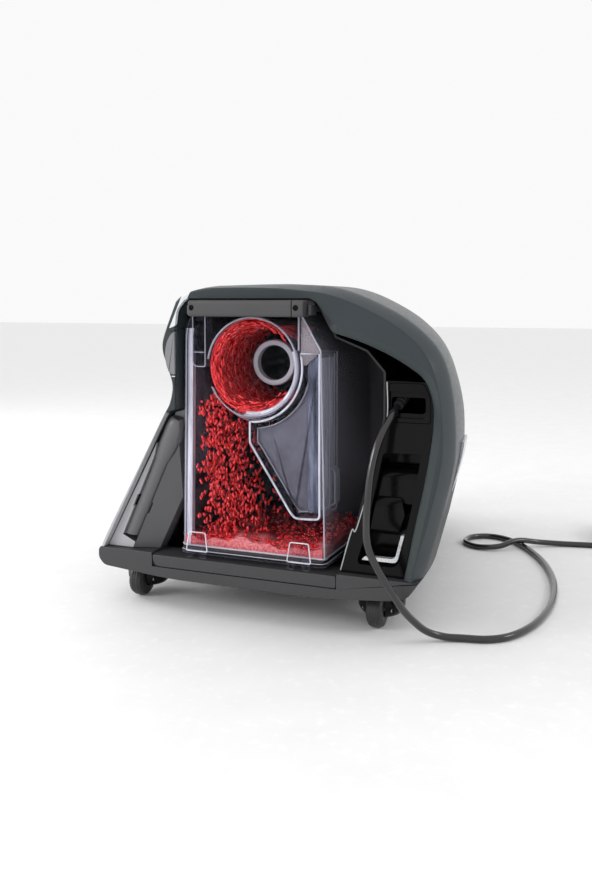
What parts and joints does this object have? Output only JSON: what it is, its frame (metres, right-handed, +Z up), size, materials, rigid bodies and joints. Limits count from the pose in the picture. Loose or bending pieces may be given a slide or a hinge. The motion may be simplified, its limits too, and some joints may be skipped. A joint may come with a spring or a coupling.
{
  "type": "bagless canister vacuum cleaner",
  "caption": "Bagless canister vacuum cleaner on swivel casters with a clear cyclone dust container in its rear face, a clipped crevice nozzle and a mains cord paid out on the floor.",
  "frame": {"origin": "on the floor under the middle of the body's box", "axes": "+Z up, +Y from the rear face with the dust container to the nose with the hose inlet, +X to the right when facing the rear face"},
  "size_m": [0.548, 0.5213, 0.3111],
  "materials": {
    "shell": "satin dark green-grey moulded plastic",
    "base": "fine-textured dark grey plastic",
    "handle": "fine-textured dark grey plastic",
    "accessory": "fine-textured light grey plastic",
    "dark": "near-black plastic, half gloss",
    "silver": "silver-painted plastic trim",
    "steel": "plain steel",
    "clear": "clear impact-resistant plastic",
    "white": "white plastic ring",
    "mesh": "fine woven filter mesh",
    "rubber": "black rubber",
    "cord": "black PVC mains cord",
    "filter": "pleated exhaust filter",
    "copper": "copper windings on a steel stack"
  },
  "bodies": {
    "body": {"base_tub": "base", "front_sill": "base", "outer_shell": "shell", "left_flank_shell": "shell", "silver_strip": "silver", "side_trim_left": "base", "side_trim_right": "base", "bay_frame": "dark", "accessory_panel": "accessory", "nozzle_clip": "dark", "right_panel": "dark", "cord_outlet": "dark", "parking_guide": "dark", "parking_bracket": "silver", "handle_tray": "dark", "hose_socket": "base", "motor_housing": "base", "motor_stator": "copper", "motor_seal": "rubber", "exhaust_filter": "filter", "inlet_duct": "base", "intake_duct": "base", "reel_bracket": "steel", "cord_gland": "rubber", "cord_tube": "cord", "cord_coil": "cord", "plug": "rubber"},
    "container": {"container_body": "clear", "cyclone_wall": "clear", "vortex_tube": "white", "filter_funnel": "clear", "funnel_mesh": "mesh", "container_lid": "clear", "lid_seal": "rubber", "lid_hinge_left": "clear", "lid_hinge_right": "clear", "top_frame": "handle"},
    "grab_bar": {"container_handle": "handle"},
    "carry_handle": {"carry_handle": "handle"},
    "power_button": {"power_button": "silver"},
    "rewind_button": {"rewind_button": "silver"},
    "exhaust_cover": {"exhaust_cover": "base"},
    "hose_swivel": {"hose_swivel": "silver"},
    "motor_rotor": {"motor_fan": "steel"},
    "reel": {"cable_reel": "dark"},
    "crevice_nozzle": {"crevice_nozzle": "handle"},
    "rear_left_caster": {"rear_left_swivel": "dark", "rear_left_axle": "steel"},
    "rear_left_roller": {"rear_left_wheel": "rubber"},
    "rear_right_caster": {"rear_right_swivel": "dark", "rear_right_axle": "steel"},
    "rear_right_roller": {"rear_right_wheel": "rubber"},
    "front_left_caster": {"front_left_swivel": "dark", "front_left_axle": "steel"},
    "front_left_roller": {"front_left_wheel": "rubber"},
    "front_right_caster": {"front_right_swivel": "dark", "front_right_axle": "steel"},
    "front_right_roller": {"front_right_wheel": "rubber"}
  },
  "joints": [
    {"name": "container_slide", "type": "slide", "parent": "body", "child": "container", "axis": [0, -1, 0], "range_m": [0, 0.175]},
    {"name": "grab_bar_tilt", "type": "hinge", "parent": "container", "child": "grab_bar", "pos_m": [-0.01, -0.227, 0.287], "axis": [1, 0, 0], "range_deg": [0, 35], "stiffness_Nm_per_rad": 0.25, "springref_deg": -20.05},
    {"name": "nozzle_pull", "type": "slide", "parent": "body", "child": "crevice_nozzle", "axis": [0, -1, 0], "range_m": [0, 0.06]},
    {"name": "carry_handle_lift", "type": "hinge", "parent": "body", "child": "carry_handle", "pos_m": [-0.01, -0.127, 0.3045], "axis": [1, 0, 0], "range_deg": [0, 80]},
    {"name": "power_press", "type": "slide", "parent": "body", "child": "power_button", "axis": [0, 0, -1], "range_m": [0, 0.004], "stiffness_N_per_m": 600, "springref_m": -0.004},
    {"name": "rewind_press", "type": "slide", "parent": "body", "child": "rewind_button", "axis": [0, 0, -1], "range_m": [0, 0.004], "stiffness_N_per_m": 600, "springref_m": -0.004},
    {"name": "exhaust_hinge", "type": "hinge", "parent": "body", "child": "exhaust_cover", "pos_m": [-0.01, 0.239, 0.074], "axis": [-1, 0, 0], "range_deg": [0, 75]},
    {"name": "hose_swivel_turn", "type": "hinge", "parent": "body", "child": "hose_swivel", "pos_m": [-0.01, 0.183, 0.223], "axis": [0, 0.5299, 0.848], "continuous": true},
    {"name": "motor_spin", "type": "hinge", "parent": "body", "child": "motor_rotor", "pos_m": [-0.017, 0.015, 0.132], "axis": [0, 1, 0], "continuous": true},
    {"name": "reel_spin", "type": "hinge", "parent": "body", "child": "reel", "pos_m": [0.067, 0.037, 0.122], "axis": [1, 0, 0], "continuous": true},
    {"name": "rear_left_swivel_turn", "type": "hinge", "parent": "body", "child": "rear_left_caster", "pos_m": [-0.146, -0.175, 0.03], "axis": [0, 0, 1], "continuous": true},
    {"name": "rear_left_wheel_roll", "type": "hinge", "parent": "rear_left_caster", "child": "rear_left_roller", "pos_m": [-0.146, -0.189, 0.017], "axis": [1, 0, 0], "continuous": true},
    {"name": "rear_right_swivel_turn", "type": "hinge", "parent": "body", "child": "rear_right_caster", "pos_m": [0.101, -0.175, 0.03], "axis": [0, 0, 1], "continuous": true},
    {"name": "rear_right_wheel_roll", "type": "hinge", "parent": "rear_right_caster", "child": "rear_right_roller", "pos_m": [0.101, -0.189, 0.017], "axis": [1, 0, 0], "continuous": true},
    {"name": "front_left_swivel_turn", "type": "hinge", "parent": "body", "child": "front_left_caster", "pos_m": [-0.065, 0.16, 0.03], "axis": [0, 0, 1], "continuous": true},
    {"name": "front_left_wheel_roll", "type": "hinge", "parent": "front_left_caster", "child": "front_left_roller", "pos_m": [-0.065, 0.146, 0.017], "axis": [1, 0, 0], "continuous": true},
    {"name": "front_right_swivel_turn", "type": "hinge", "parent": "body", "child": "front_right_caster", "pos_m": [0.045, 0.16, 0.03], "axis": [0, 0, 1], "continuous": true},
    {"name": "front_right_wheel_roll", "type": "hinge", "parent": "front_right_caster", "child": "front_right_roller", "pos_m": [0.045, 0.146, 0.017], "axis": [1, 0, 0], "continuous": true}
  ]
}
